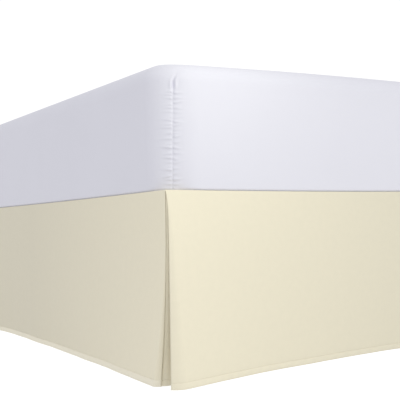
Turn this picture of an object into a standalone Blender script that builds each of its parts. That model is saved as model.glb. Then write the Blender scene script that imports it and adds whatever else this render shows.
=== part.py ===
"""A tailored bed skirt on a queen-size bed.

The foot end faces -Y and the head end +Y. The floor is z = 0 and the origin is the foot of the centre leg,
under the middle of the mattress. Left is -X, as seen from the foot end.
"""

import math
from collections import namedtuple

import bmesh
import bpy
from mathutils import Vector

INCH = 0.0254
MM = 0.001

# Driving dimensions: a 60 x 80 inch mattress on a 9 inch foundation and 6 inch legs, in a 15 inch drop.
MATTRESS_WIDTH = 60 * INCH
MATTRESS_LENGTH = 80 * INCH
MATTRESS_THICKNESS = 10.5 * INCH
FOUNDATION_HEIGHT = 9 * INCH
LEG_HEIGHT = 6 * INCH
SKIRT_DROP = 15 * INCH

# The mattress: how round its upright corners and its top and bottom edges are.
MATTRESS_CORNER_RADIUS = 85 * MM
MATTRESS_TOP_RADIUS = 40 * MM
MATTRESS_BOTTOM_RADIUS = 12 * MM
MATTRESS_CORNER_SEGMENTS = 10
MATTRESS_EDGE_SEGMENTS = 5

# The foundation is a little smaller than the mattress, so that the drops hang clear of it.
FOUNDATION_INSET = 8 * MM
FOUNDATION_CORNER_RADIUS = 30 * MM
FOUNDATION_EDGE_RADIUS = 6 * MM
FOUNDATION_CORNER_SEGMENTS = 6
FOUNDATION_EDGE_SEGMENTS = 2

# Round tapered legs.
LEG_INSET = 110 * MM
LEG_FOOT_RADIUS = 24 * MM
LEG_TOP_RADIUS = 32 * MM
LEG_SIDES = 24

# The cloth.
GAP = 0.3 * MM
SHEET = 1.5 * MM
HEM_THICKNESS = 2.6 * MM
HEM_HEIGHT = 0.5 * INCH
HEM_STEP = 2 * MM
PLEAT_LEG = 140 * MM

# How far up each piece stands.
FOUNDATION_TOP = LEG_HEIGHT + FOUNDATION_HEIGHT
DECK_UNDERSIDE = FOUNDATION_TOP + GAP
DECK_TOP = DECK_UNDERSIDE + SHEET

# The outer face of the drops along their top seam, and the deck's edge just inside them.
SKIRT_HALF_WIDTH = MATTRESS_WIDTH / 2 + SHEET + GAP
SKIRT_HALF_LENGTH = MATTRESS_LENGTH / 2 + SHEET + GAP
BEHIND_PANEL = SHEET + GAP

# The side drops run from the foot corner to the mattress's head end.
SIDE_RUN = SKIRT_HALF_LENGTH + MATTRESS_LENGTH / 2

# Steps of the cloth grids.
FOLD_STEPS = 5
SIDE_STEPS = 24
FOOT_STEPS = 22
SPREAD_POWER = 1.6
ROW_STEPS = 8
ROW_POWER = 1.5
PLEAT_LEG_STEPS = 4
PLEAT_ARC_STEPS = 6

# How one end of a drop hangs at its corner, in mm. The cloth stands off by flare at the hem, fading over
# reach along the panel and over the power rise up it. Its last fold_run turns in by fold_depth. The edge starts
# edge_top from the corner, opens by edge_swing just under the seam and leans by edge_lean down to the hem.
PanelEnd = namedtuple("PanelEnd", "flare reach rise fold_run fold_depth edge_top edge_swing edge_lean")
ENDS = {
    ("foot", "left"): PanelEnd(48, 200, 1.0, 27, 19, 0.0, 6, -22),
    ("side", "left"): PanelEnd(33, 400, 1.4, 12, 14, 1.8, 3, 5),
    ("foot", "right"): PanelEnd(34, 220, 1.1, 20, 12, 0.0, 5, -14),
    ("side", "right"): PanelEnd(25, 360, 1.3, 11, 9, 1.8, 3, 4),
}
FOLD_RUN_AT_SEAM = 3
SWING_DEPTH = 0.05
FADE_POWER = 1.2

# Soft folds away from the corners: how far each lies from the panel's first corner, how far the hem stands off
# there and how wide the fold is, in mm.
Fold = namedtuple("Fold", "place stand_off width")
SIDE_FOLDS = {
    "left": (Fold(1080, 7, 100), Fold(1450, 5, 130), Fold(1880, 9, 120)),
    "right": (Fold(560, 5, 110), Fold(1010, 8, 130), Fold(1530, 4, 120), Fold(1900, 7, 110)),
}
FOOT_FOLDS = (Fold(520, -2, 120), Fold(830, 5, 110), Fold(1130, 3, 100))

# The pleat underlay at the hem, in mm from the corner: the centre and half sizes of its rounded corner, and how
# far its two far edges stand off. Along x is the side's distance from the corner, along y the foot's.
PleatHem = namedtuple("PleatHem", "centre_x centre_y half_x half_y foot_edge side_edge")
PLEAT_HEMS = {
    "left": PleatHem(18, 40, 46, 34, 2, -20),
    "right": PleatHem(16, 34, 36, 29, 2, -13),
}
PLEAT_TOP_RADIUS = 3.2
PLEAT_RISE = 1.8

SIDES = {"left": -1, "right": 1}

# Edges turn sharp in the shading past this angle, and points this near a level count as on it.
SHARP_ANGLE = math.radians(40)
ON_LEVEL = 0.1 * MM

Finish = namedtuple("Finish", "colour roughness")
FINISHES = {
    "skirt_microfibre": Finish((0.84, 0.79, 0.66), 0.85),
    "mattress_cover": Finish((0.86, 0.86, 0.89), 0.8),
    "foundation_ticking": Finish((0.78, 0.77, 0.74), 0.9),
    "leg_wood": Finish((0.42, 0.27, 0.15), 0.5),
}


def clear_scene():
    for old in list(bpy.data.objects):
        bpy.data.objects.remove(old, do_unlink=True)


def new_collection(name):
    collection = bpy.data.collections.new(name)
    bpy.context.scene.collection.children.link(collection)
    return collection


def finish_material(name, finish):
    material = bpy.data.materials.new(name)
    material.use_nodes = True
    principled = material.node_tree.nodes["Principled BSDF"]
    principled.inputs["Base Color"].default_value = (*finish.colour, 1.0)
    principled.inputs["Roughness"].default_value = finish.roughness
    principled.inputs["Metallic"].default_value = 0.0
    return material


def add_object(name, bm, slot, parts, bed):
    """Puts the mesh in the scene as one named object with a material of its own, on the bed's empty."""
    mesh = bpy.data.meshes.new(name)
    bm.to_mesh(mesh)
    bm.free()
    mesh.materials.append(finish_material(f"{name}_{slot}", FINISHES[slot]))
    mesh.shade_smooth()
    mesh.set_sharp_from_angle(angle=SHARP_ANGLE)
    obj = bpy.data.objects.new(name, mesh)
    parts.objects.link(obj)
    obj.parent = bed
    return obj


def mix(a, b, share):
    return a + (b - a) * share


# The drops hang as grids. A row's depth runs from 0 at the seam to 1 at the hem.


def row_depths():
    """The rows' depths, closest under the seam, with a narrow step into the thicker hem."""
    hem_top = 1 - HEM_HEIGHT / SKIRT_DROP
    step = HEM_STEP / SKIRT_DROP
    body = [(hem_top - step) * (i / ROW_STEPS) ** ROW_POWER for i in range(ROW_STEPS + 1)]
    return body + [hem_top, 1.0]


def edge_of(end, depth):
    """How far the panel's edge is from the corner at this depth, in mm."""
    return end.edge_top + end.edge_swing * (1 - math.exp(-depth / SWING_DEPTH)) + end.edge_lean * depth


def folds_at(folds, place):
    """How far the soft folds push the hem out at this place along the panel, in mm."""
    return sum(f.stand_off * math.exp(-(((place - f.place) / f.width) ** 2)) for f in folds)


def flare_at(end, beyond_fold, depth):
    """How far the panel stands off at a distance in mm from its folded end."""
    fade = math.exp(-((beyond_fold / end.reach) ** FADE_POWER))
    return end.flare * fade * depth**end.rise


def folded_end(end, share, depth):
    """(place along, stand-off) in mm on the folded strip: share is 0 at its edge and 1 where the panel begins."""
    run = mix(FOLD_RUN_AT_SEAM, end.fold_run, depth)
    turned_in = end.fold_depth * depth**end.rise * (1 - share) ** 2
    return edge_of(end, depth) + run * share, flare_at(end, 0, depth) - turned_in


def spread(steps, length):
    """Distances from 0 to length, closest at the start."""
    return [length * (i / steps) ** SPREAD_POWER for i in range(steps + 1)]


def side_columns():
    """(kind, value) of each column of a side drop, from its foot corner to the head end."""
    fold = [("fold", i / FOLD_STEPS) for i in range(FOLD_STEPS)]
    return fold + [("run", place) for place in spread(SIDE_STEPS, SIDE_RUN / MM)]


def foot_columns():
    """(kind, value) of each column of the foot drop, from its left corner to its right one."""
    half = SKIRT_HALF_WIDTH / MM
    left = [("left_fold", i / FOLD_STEPS) for i in range(FOLD_STEPS)]
    right = [("right_fold", i / FOLD_STEPS) for i in reversed(range(FOLD_STEPS))]
    near = spread(FOOT_STEPS // 2, half)
    run = near + [2 * half - place for place in reversed(near[:-1])]
    return left + [("run", place) for place in run] + right


def side_point(side, column, depth):
    """A point of a side drop's outer face, in world space."""
    end = ENDS["side", side]
    kind, value = column
    if kind == "fold":
        along, out = folded_end(end, value, depth)
    else:
        length = SIDE_RUN / MM
        start = folded_end(end, 1, depth)[0]
        along = mix(start, length, value / length)
        out = flare_at(end, value, depth) + folds_at(SIDE_FOLDS[side], along) * depth
    x = SIDES[side] * (SKIRT_HALF_WIDTH + out * MM)
    return Vector((x, -SKIRT_HALF_LENGTH + along * MM, DECK_TOP - depth * SKIRT_DROP))


def foot_point(column, depth):
    """A point of the foot drop's outer face, in world space."""
    left, right = ENDS["foot", "left"], ENDS["foot", "right"]
    kind, value = column
    width = 2 * SKIRT_HALF_WIDTH / MM
    if kind == "left_fold":
        along, out = folded_end(left, value, depth)
    elif kind == "right_fold":
        from_right, out = folded_end(right, value, depth)
        along = width - from_right
    else:
        first = folded_end(left, 1, depth)[0]
        last = width - folded_end(right, 1, depth)[0]
        along = mix(first, last, value / width)
        out = flare_at(left, value, depth) + flare_at(right, width - value, depth)
        out += folds_at(FOOT_FOLDS, along) * depth
    y = -SKIRT_HALF_LENGTH - out * MM
    return Vector((-SKIRT_HALF_WIDTH + along * MM, y, DECK_TOP - depth * SKIRT_DROP))


def pleat_columns():
    """(stretch, share) of each column of the underlay: its foot leg, its rounded corner, its side leg."""
    foot = [("foot_leg", i / PLEAT_LEG_STEPS) for i in range(PLEAT_LEG_STEPS)]
    arc = [("arc", i / PLEAT_ARC_STEPS) for i in range(PLEAT_ARC_STEPS + 1)]
    side = [("side_leg", i / PLEAT_LEG_STEPS) for i in range(1, PLEAT_LEG_STEPS + 1)]
    return foot + arc + side


def pleat_point(side, column, depth):
    """A point of the underlay's outer face. At the seam it is a tight square corner behind both drops, and at
    the hem it stands off with the side drop."""
    hem = PLEAT_HEMS[side]
    behind = BEHIND_PANEL / MM
    leg = PLEAT_LEG / MM
    share = depth**PLEAT_RISE
    centre_x = mix(behind + PLEAT_TOP_RADIUS, hem.centre_x, share)
    centre_y = mix(behind + PLEAT_TOP_RADIUS, hem.centre_y, share)
    half_x = mix(PLEAT_TOP_RADIUS, hem.half_x, share)
    half_y = mix(PLEAT_TOP_RADIUS, hem.half_y, share)
    stretch, along = column
    if stretch == "foot_leg":
        x = mix(leg, centre_x, along)
        y = mix(mix(behind, hem.foot_edge, share), centre_y - half_y, along)
    elif stretch == "arc":
        angle = along * math.pi / 2
        x = centre_x - half_x * math.sin(angle)
        y = centre_y - half_y * math.cos(angle)
    else:
        x = mix(centre_x - half_x, mix(behind, hem.side_edge, share), along)
        y = mix(centre_y, leg, along)
    world_x = SIDES[side] * (SKIRT_HALF_WIDTH - x * MM)
    return Vector((world_x, -SKIRT_HALF_LENGTH + y * MM, DECK_TOP - depth * SKIRT_DROP))


def hung_sheet(name, point_at, columns, depths, outward, parts, bed):
    """Hangs a grid of cloth on the outer face that point_at gives, and thickens it inwards, more at its hem."""
    bm = bmesh.new()
    wide, high = len(columns) - 1, len(depths) - 1
    bmesh.ops.create_grid(bm, x_segments=wide, y_segments=high, size=0.5)
    hem_rows = {}
    for vertex in bm.verts:
        column = round((vertex.co.x + 0.5) * wide)
        row = round((0.5 - vertex.co.y) * high)
        hem_rows[vertex.index] = row >= high - 1
        vertex.co = point_at(columns[column], depths[row])
    bm.normal_update()
    facing = sum((face.normal * face.calc_area() for face in bm.faces), Vector())
    if facing.dot(outward) < 0:
        bmesh.ops.reverse_faces(bm, faces=bm.faces)
    obj = add_object(name, bm, "skirt_microfibre", parts, bed)
    hem = obj.vertex_groups.new(name="hem")
    for index, in_hem in hem_rows.items():
        hem.add([index], 1.0 if in_hem else 0.0, "REPLACE")
    solidify = obj.modifiers.new("Thickness", "SOLIDIFY")
    solidify.thickness = HEM_THICKNESS
    solidify.offset = -1
    solidify.use_even_offset = True
    solidify.use_quality_normals = True
    solidify.vertex_group = "hem"
    solidify.thickness_vertex_group = SHEET / HEM_THICKNESS
    return obj


def build_side_panel(side, parts, bed):
    outward = Vector((SIDES[side], 0, 0))
    hung_sheet(
        f"side_panel_{side}",
        lambda column, depth: side_point(side, column, depth),
        side_columns(),
        row_depths(),
        outward,
        parts,
        bed,
    )


def build_foot_panel(parts, bed):
    hung_sheet("foot_panel", foot_point, foot_columns(), row_depths(), Vector((0, -1, 0)), parts, bed)


def build_corner_pleat(side, parts, bed):
    """The underlay starts just under the deck's overhanging rim, which it is sewn to."""
    depths = row_depths()
    depths[0] = (DECK_TOP - DECK_UNDERSIDE + GAP) / SKIRT_DROP
    outward = Vector((SIDES[side], -1, 0))
    hung_sheet(
        f"corner_pleat_{side}",
        lambda column, depth: pleat_point(side, column, depth),
        pleat_columns(),
        depths,
        outward,
        parts,
        bed,
    )


def build_deck(parts, bed):
    """The flat platform cloth, as large as the mattress, lying on the foundation."""
    bm = bmesh.new()
    bmesh.ops.create_cube(bm, size=1)
    bmesh.ops.scale(bm, vec=(MATTRESS_WIDTH, MATTRESS_LENGTH, SHEET), verts=bm.verts)
    deck = add_object("deck_panel", bm, "skirt_microfibre", parts, bed)
    deck.location.z = (DECK_UNDERSIDE + DECK_TOP) / 2


def bevel_edges(bm, edges, radius, segments):
    bmesh.ops.bevel(
        bm, geom=edges, offset=radius, offset_type="OFFSET", segments=segments, profile=0.5, affect="EDGES"
    )


def rounded_box(size, corner_radius, top_radius, bottom_radius, corner_segments, edge_segments):
    """A box about the origin with round upright corners, then round top and bottom edges."""
    bm = bmesh.new()
    bmesh.ops.create_cube(bm, size=1)
    bmesh.ops.scale(bm, vec=size, verts=bm.verts)
    upright = [e for e in bm.edges if abs(e.verts[0].co.z - e.verts[1].co.z) > size[2] / 2]
    bevel_edges(bm, upright, corner_radius, corner_segments)
    for level, radius in ((size[2] / 2, top_radius), (-size[2] / 2, bottom_radius)):
        rim = [e for e in bm.edges if all(abs(v.co.z - level) < ON_LEVEL for v in e.verts)]
        bevel_edges(bm, rim, radius, edge_segments)
    return bm


def build_mattress(parts, bed):
    size = (MATTRESS_WIDTH, MATTRESS_LENGTH, MATTRESS_THICKNESS)
    bm = rounded_box(
        size,
        MATTRESS_CORNER_RADIUS,
        MATTRESS_TOP_RADIUS,
        MATTRESS_BOTTOM_RADIUS,
        MATTRESS_CORNER_SEGMENTS,
        MATTRESS_EDGE_SEGMENTS,
    )
    mattress = add_object("mattress", bm, "mattress_cover", parts, bed)
    mattress.location.z = DECK_TOP + GAP + MATTRESS_THICKNESS / 2


def build_foundation(parts, bed):
    shrink = 2 * FOUNDATION_INSET
    size = (MATTRESS_WIDTH - shrink, MATTRESS_LENGTH - shrink, FOUNDATION_HEIGHT)
    bm = rounded_box(
        size,
        FOUNDATION_CORNER_RADIUS,
        FOUNDATION_EDGE_RADIUS,
        FOUNDATION_EDGE_RADIUS,
        FOUNDATION_CORNER_SEGMENTS,
        FOUNDATION_EDGE_SEGMENTS,
    )
    foundation = add_object("foundation", bm, "foundation_ticking", parts, bed)
    foundation.location.z = LEG_HEIGHT + FOUNDATION_HEIGHT / 2


def build_legs(parts, bed):
    """Three legs along each side and one in the middle, just under the foundation."""
    reach_x = MATTRESS_WIDTH / 2 - FOUNDATION_INSET - LEG_INSET
    reach_y = MATTRESS_LENGTH / 2 - FOUNDATION_INSET - LEG_INSET
    places = {"leg_centre": (0, 0)}
    for side, sign in SIDES.items():
        for row, y in (("foot", -reach_y), ("middle", 0), ("head", reach_y)):
            places[f"leg_{row}_{side}"] = (sign * reach_x, y)
    height = LEG_HEIGHT - GAP
    for name, (x, y) in places.items():
        bm = bmesh.new()
        bmesh.ops.create_cone(
            bm, cap_ends=True, segments=LEG_SIDES, radius1=LEG_FOOT_RADIUS, radius2=LEG_TOP_RADIUS, depth=height
        )
        leg = add_object(name, bm, "leg_wood", parts, bed)
        leg.location = (x, y, height / 2)


def main():
    clear_scene()
    parts = new_collection("Bed skirt on a bed")
    bed = bpy.data.objects.new("bed_centre", None)
    parts.objects.link(bed)
    build_legs(parts, bed)
    build_foundation(parts, bed)
    build_deck(parts, bed)
    build_foot_panel(parts, bed)
    for side in SIDES:
        build_side_panel(side, parts, bed)
        build_corner_pleat(side, parts, bed)
    build_mattress(parts, bed)


main()
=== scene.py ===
"""A tailored bed skirt on a plain queen-size bed: the looks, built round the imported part.

All sizes are in metres unless a name or a table says mm. The foot end faces -Y, left is -X as seen from there,
and the floor is z = 0.
"""

import math
import random
from collections import namedtuple

import bmesh
import bpy
from mathutils import Matrix, Vector


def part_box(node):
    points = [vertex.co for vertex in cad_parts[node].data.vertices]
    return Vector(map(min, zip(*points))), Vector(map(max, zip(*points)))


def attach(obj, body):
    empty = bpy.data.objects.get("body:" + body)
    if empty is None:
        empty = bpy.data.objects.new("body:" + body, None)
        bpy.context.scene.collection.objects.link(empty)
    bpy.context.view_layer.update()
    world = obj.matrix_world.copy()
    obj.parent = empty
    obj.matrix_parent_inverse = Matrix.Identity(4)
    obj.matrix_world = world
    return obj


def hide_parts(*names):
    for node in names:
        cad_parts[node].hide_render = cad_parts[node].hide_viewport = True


bl_info = {
    "name": "Tailored bed skirt",
    "version": (1, 0, 0),
    "blender": (4, 5, 0),
    "location": "3D View > Sidebar > Bed Skirt",
    "description": "Builds a split-corner bed skirt, the mattress it hangs under and their base",
    "category": "Add Mesh",
}

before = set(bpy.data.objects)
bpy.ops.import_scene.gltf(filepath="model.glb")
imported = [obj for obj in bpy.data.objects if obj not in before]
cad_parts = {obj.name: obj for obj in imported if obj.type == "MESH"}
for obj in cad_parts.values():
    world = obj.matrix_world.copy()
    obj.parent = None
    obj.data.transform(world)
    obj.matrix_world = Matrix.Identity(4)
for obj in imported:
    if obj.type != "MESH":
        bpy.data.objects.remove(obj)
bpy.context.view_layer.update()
BODY = "root"

MM = 0.001
SIDES = {"left": -1, "right": 1}

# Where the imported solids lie.
MATTRESS_LOW, MATTRESS_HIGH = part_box("mattress")
FOUNDATION_LOW, FOUNDATION_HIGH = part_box("foundation")
DECK_LOW, DECK_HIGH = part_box("deck_panel")
HEM_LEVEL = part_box("foot_panel")[0].z
# The hung cloth stretches this much under its own weight.
STRETCH = 0.7 * MM
DROP = DECK_HIGH.z - HEM_LEVEL + STRETCH

# The solids' sheets are this thick and this far apart, so the next sheet begins BEHIND_DROP mm behind a drop's face.
SOLID_SHEET = 1.5 * MM
GAP = 0.3 * MM
BEHIND_DROP = (SOLID_SHEET + GAP) / MM

# The drops' outer face along their top seam, and how far a side drop runs.
SEAM_X = DECK_HIGH.x + SOLID_SHEET + GAP
SEAM_Y = DECK_HIGH.y + SOLID_SHEET + GAP
SIDE_RUN = SEAM_Y + DECK_HIGH.y

# How one end of a drop hangs at its corner, in mm. The cloth stands off by flare at the hem, fading over
# reach along the drop and over the power rise up it. Its last fold_run turns in by fold_depth, over the power
# curl up it. The edge starts edge_top from the corner, opens by edge_swing just under the seam and leans by
# edge_lean down to the hem.
DropEnd = namedtuple("DropEnd", "flare reach rise fold_run fold_depth curl edge_top edge_swing edge_lean")
ENDS = {
    ("foot", "left"): DropEnd(48, 200, 1.0, 27, 14, 1.0, -1.0, 5.5, -26),
    ("side", "left"): DropEnd(33, 400, 2.2, 12, 12, 2.2, 3.8, 1.5, 0),
    ("foot", "right"): DropEnd(34, 220, 1.1, 20, 9, 1.1, -0.5, 5, -16),
    ("side", "right"): DropEnd(25, 360, 2.1, 11, 8, 2.0, 3.4, 1.5, 0),
}
# At the seam every fold's run is FOLD_RUN_AT_SEAM, in mm. An edge's swing is two thirds done at SWING_DEPTH, a share
# of the drop, and FADE_POWER is the power by which the flare fades along the drop.
FOLD_RUN_AT_SEAM = 3
SWING_DEPTH = 0.05
FADE_POWER = 1.2

# Soft folds away from the corners: how far each lies from the drop's first corner, how far the hem stands off
# there and how wide the fold is, in mm.
Fold = namedtuple("Fold", "place stand_off width")
SIDE_FOLDS = {
    "left": (Fold(1080, 7, 100), Fold(1450, 5, 130), Fold(1880, 9, 120)),
    "right": (Fold(560, 5, 110), Fold(1010, 8, 130), Fold(1530, 4, 120), Fold(1900, 7, 110)),
}
FOOT_FOLDS = (Fold(520, -2, 120), Fold(830, 5, 110), Fold(1130, 3, 100))

# The slight unevenness of hung cloth, the same kind on every drop: waves along it, in mm.
Wave = namedtuple("Wave", "length height phase")
WAVES = (Wave(317, 0.9, 0.4), Wave(173, 0.55, 2.1), Wave(97, 0.3, 4.4), Wave(61, 0.16, 1.3))
# They fade in over about WAVES_START from a corner, and run on by SIDE_WAVE_SHIFT on the side drops, in mm.
WAVES_START = 150
SIDE_WAVE_SHIFT = 40

# The pleat underlay at the hem, in mm: the half sizes of its rounded corner, and how far inside the foot's seam
# line its front and the edge of its foot leg are. Its side leg lies against the inside of the side drop.
PleatHem = namedtuple("PleatHem", "half_x half_y front foot_edge")
PLEAT_HEMS = {
    "left": PleatHem(31, 25, 2, 2),
    "right": PleatHem(26, 21, 2, 2),
}
# Its corner's radius at the seam, the power by which that grows to the hem's, how far from the drops' corner its
# legs reach and how much further behind the side drop its side leg is at the hem, in mm.
PLEAT_TOP_RADIUS = 3.2
PLEAT_RISE = 2.2
PLEAT_LEG = 140
PLEAT_CLEARANCE = 1.2

# The cloth grids, in mm: their columns are FINE_STEP apart for FINE_RUN from a corner and WIDE_STEP apart beyond
# it, and their rows ROW_STEP. A folded end has FOLD_STEPS columns, and an underlay has PLEAT_LEG_STEPS on each leg
# and PLEAT_ARC_STEPS round its corner.
FINE_STEP = 3
WIDE_STEP = 11
ROW_STEP = 8
FOLD_STEPS = 9
FINE_RUN = 70
PLEAT_LEG_STEPS = 12
PLEAT_ARC_STEPS = 24
# A row of stitches stops this far from its ends, in mm. Half a stitch's bead is this share of the stitch's length,
# and the bead's middle lies this share of the thread's thickness above the cloth.
SEWN_FROM = 2
BEAD_HALF = 0.42
BEAD_LIFT = 0.3
# How far under the seam, in mm, the side drops' end hem is at its full thickness.
END_HEM_START = 7.6

# The mattress presses the bed's edge down a little, most in the middle of each end and side.
END_SINK = 7.5 * MM
SIDE_SINK = 5.5 * MM

# The mattress's corner seams, from the foot-left one anticlockwise: the seam begins start round from the corner's
# middle, leans on by lean as it climbs and by bend over the top edge, all anticlockwise and in mm. Its puckers are
# drawn from seed.
CornerSeam = namedtuple("CornerSeam", "start lean bend seed")
CORNER_SEAMS = (
    CornerSeam(3.5, 9, 14, 11),
    CornerSeam(0, 5, 8, 23),
    CornerSeam(1, 6, 9, 37),
    CornerSeam(-1, 4, 10, 53),
)


# Colours and materials


def linear(code):
    """The linear colour of an sRGB hex code, with full alpha."""
    channels = (int(code[i : i + 2], 16) / 255 for i in (0, 2, 4))
    return (*(c / 12.92 if c <= 0.04045 else ((c + 0.055) / 1.055) ** 2.4 for c in channels), 1.0)


def feed(tree, node, inputs):
    """Sets each input of the node to a value, or links it to another node's output."""
    for name, value in inputs.items():
        if isinstance(value, bpy.types.NodeSocket):
            tree.links.new(value, node.inputs[name])
        else:
            node.inputs[name].default_value = value


def add_node(tree, kind, inputs=None, out=0, **settings):
    """Adds a node with its settings and inputs, and returns its output of this name or number."""
    node = tree.nodes.new(kind)
    for name, value in settings.items():
        setattr(node, name, value)
    feed(tree, node, inputs or {})
    return node.outputs[out]


def new_material(name):
    """An empty node material and its Principled shader."""
    material = bpy.data.materials.new(name)
    material.use_nodes = True
    return material.node_tree, material.node_tree.nodes["Principled BSDF"], material


def plain_weave(tree, where, pitch):
    """The height of a plain weave: two crossed wave patterns with a thread every pitch metres. At scale 1 Blender's
    wave pattern turns through 20 radians in a metre."""
    scale = 1 / (20 * pitch)
    threads = []
    for direction in ("X", "Y"):
        bands = {"Vector": where, "Scale": math.tau * scale, "Distortion": 0.6, "Detail": 1.0, "Detail Scale": 2.0}
        threads.append(add_node(tree, "ShaderNodeTexWave", bands, out="Fac", bands_direction=direction))
    return add_node(tree, "ShaderNodeMath", {0: threads[0], 1: threads[1]}, operation="MAXIMUM")


def microfibre_material(cloth):
    """Brushed polyester microfibre, woven plain and piece-dyed cream: matt, with a soft peach-skin sheen and a
    faint mottle where the nap lies one way or the other. Light is painted into its colour: it is drawn lighter
    towards the split corners, standing in for the light that falls there, and a shade lighter in the hems, standing
    in for the light that the hems catch and for the shade under the bed showing less through their three layers.
    The real threads are 0.2 mm apart, and are drawn coarser so that they show."""
    name = "microfibre_brushed_cream"
    if name in bpy.data.materials:
        return bpy.data.materials[name]
    tree, shader, material = new_material(name)
    flat = add_node(tree, "ShaderNodeUVMap", uv_map="flat_cloth")
    brushed = {"Vector": flat, "Scale": 1 / cloth.nap_size, "Detail": 4.0, "Roughness": 0.55}
    nap = add_node(tree, "ShaderNodeTexNoise", brushed, noise_dimensions="2D")
    # Painted light: the cloth is drawn lighter towards the foot's two split corners and fades out over the reach. This
    # stands in for the light that falls there. The nap's mottle added to it is a real random tone.
    place = add_node(tree, "ShaderNodeTexCoord", out="Object")
    folded = add_node(tree, "ShaderNodeVectorMath", {0: place}, operation="ABSOLUTE")
    sideways = add_node(tree, "ShaderNodeSeparateXYZ", {"Vector": folded}, out="X")
    lengthways = add_node(tree, "ShaderNodeSeparateXYZ", {"Vector": place}, out="Y")
    flat_place = add_node(tree, "ShaderNodeCombineXYZ", {"X": sideways, "Y": lengthways})
    corner = {0: flat_place, 1: (SEAM_X, -SEAM_Y, 0)}
    from_corner = add_node(tree, "ShaderNodeVectorMath", corner, out="Value", operation="DISTANCE")
    painted_light_falloff = {"Value": from_corner, "From Max": cloth.painted_lighter_reach, "To Min": 0.98, "To Max": 0.1}
    painted_lighter = add_node(tree, "ShaderNodeMapRange", painted_light_falloff)
    mottle = add_node(tree, "ShaderNodeMath", {0: nap, 1: 0.2, 2: -0.1}, operation="MULTIPLY_ADD")
    painted_light_and_mottle = add_node(tree, "ShaderNodeMath", {0: painted_lighter, 1: mottle}, operation="ADD")
    shades = {"Factor": painted_light_and_mottle, "A": cloth.colour, "B": cloth.painted_lighter_colour}
    body = add_node(tree, "ShaderNodeMix", shades, out=2, data_type="RGBA")
    # Painted light: in the hems, where layers is 1, the cloth is drawn in the lighter hem colour. This stands in for
    # the light the hems catch and for less shade showing through three layers.
    layers = add_node(tree, "ShaderNodeAttribute", out="Fac", attribute_name="layers")
    hem = {"Factor": layers, "A": body, "B": cloth.hem_painted_light_colour}
    colour = add_node(tree, "ShaderNodeMix", hem, out=2, data_type="RGBA")
    weave = plain_weave(tree, flat, cloth.drawn_thread)
    bump = add_node(tree, "ShaderNodeBump", {"Height": weave, "Strength": 0.25, "Distance": 0.1 * MM})
    feed(tree, shader, {"Base Color": colour, "Normal": bump, "Roughness": 0.9})
    feed(tree, shader, {"Sheen Weight": 0.15, "Sheen Roughness": 0.5})
    return material


def percale_material(cover):
    """Bleached cotton percale with an optical brightener: a smooth, faintly lavender white, with hardly any gloss.
    Its weave is too fine to show, and is drawn as a coarser grain."""
    tree, shader, material = new_material("percale_bleached")
    place = add_node(tree, "ShaderNodeTexCoord", out="Object")
    tone = add_node(tree, "ShaderNodeTexNoise", {"Vector": place, "Scale": 1 / cover.tone_size, "Detail": 2.0})
    tones = {"Factor": tone, "A": cover.dark, "B": cover.light}
    colour = add_node(tree, "ShaderNodeMix", tones, out=2, data_type="RGBA")
    grain = add_node(tree, "ShaderNodeTexNoise", {"Vector": place, "Scale": 1 / cover.drawn_thread, "Detail": 2.0})
    bump = add_node(tree, "ShaderNodeBump", {"Height": grain, "Strength": 0.2, "Distance": 0.1 * MM})
    feed(tree, shader, {"Base Color": colour, "Normal": bump, "Roughness": 0.8, "Sheen Weight": 0.1})
    return material


def thread_material(cloth):
    """Spun polyester sewing thread, dyed to match the cloth, a shade glossier than it."""
    tree, shader, material = new_material("thread_spun_polyester")
    twist = add_node(tree, "ShaderNodeTexNoise", {"Scale": 1 / (0.8 * MM), "Detail": 1.0})
    tones = {"Factor": twist, "A": cloth.thread_dark, "B": cloth.thread_light}
    colour = add_node(tree, "ShaderNodeMix", tones, out=2, data_type="RGBA")
    feed(tree, shader, {"Base Color": colour, "Roughness": 0.55})
    return material


# Where a stripe lies, as a share of the half repeat.
STRIPE_PLACE = 0.8


def ticking_material(base):
    """Unbleached cotton ticking, woven tight, with a pair of thin grey stripes every 64 mm. Its threads are drawn
    coarser than the real 0.4 mm so that they show."""
    tree, shader, material = new_material("ticking_woven_striped")
    flat = add_node(tree, "ShaderNodeUVMap", uv_map="flat_cloth")
    across = add_node(tree, "ShaderNodeSeparateXYZ", {"Vector": flat}, out="X")
    in_repeat = add_node(tree, "ShaderNodeMath", {0: across, 1: base.half_repeat}, operation="PINGPONG")
    stripe = {0: in_repeat, 1: base.half_repeat * STRIPE_PLACE, 2: base.stripe_width / 2}
    on_stripe = add_node(tree, "ShaderNodeMath", stripe, operation="COMPARE")
    slub = add_node(tree, "ShaderNodeTexNoise", {"Vector": flat, "Scale": 1 / (3 * MM), "Detail": 3.0})
    tones = {"Factor": slub, "A": base.ticking_dark, "B": base.ticking_light}
    ground = add_node(tree, "ShaderNodeMix", tones, out=2, data_type="RGBA")
    striped = {"Factor": on_stripe, "A": ground, "B": base.stripe_colour}
    colour = add_node(tree, "ShaderNodeMix", striped, out=2, data_type="RGBA")
    weave = plain_weave(tree, flat, base.drawn_thread)
    bump = add_node(tree, "ShaderNodeBump", {"Height": weave, "Strength": 0.4, "Distance": 0.2 * MM})
    feed(tree, shader, {"Base Color": colour, "Normal": bump, "Roughness": 0.9})
    return material


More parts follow.
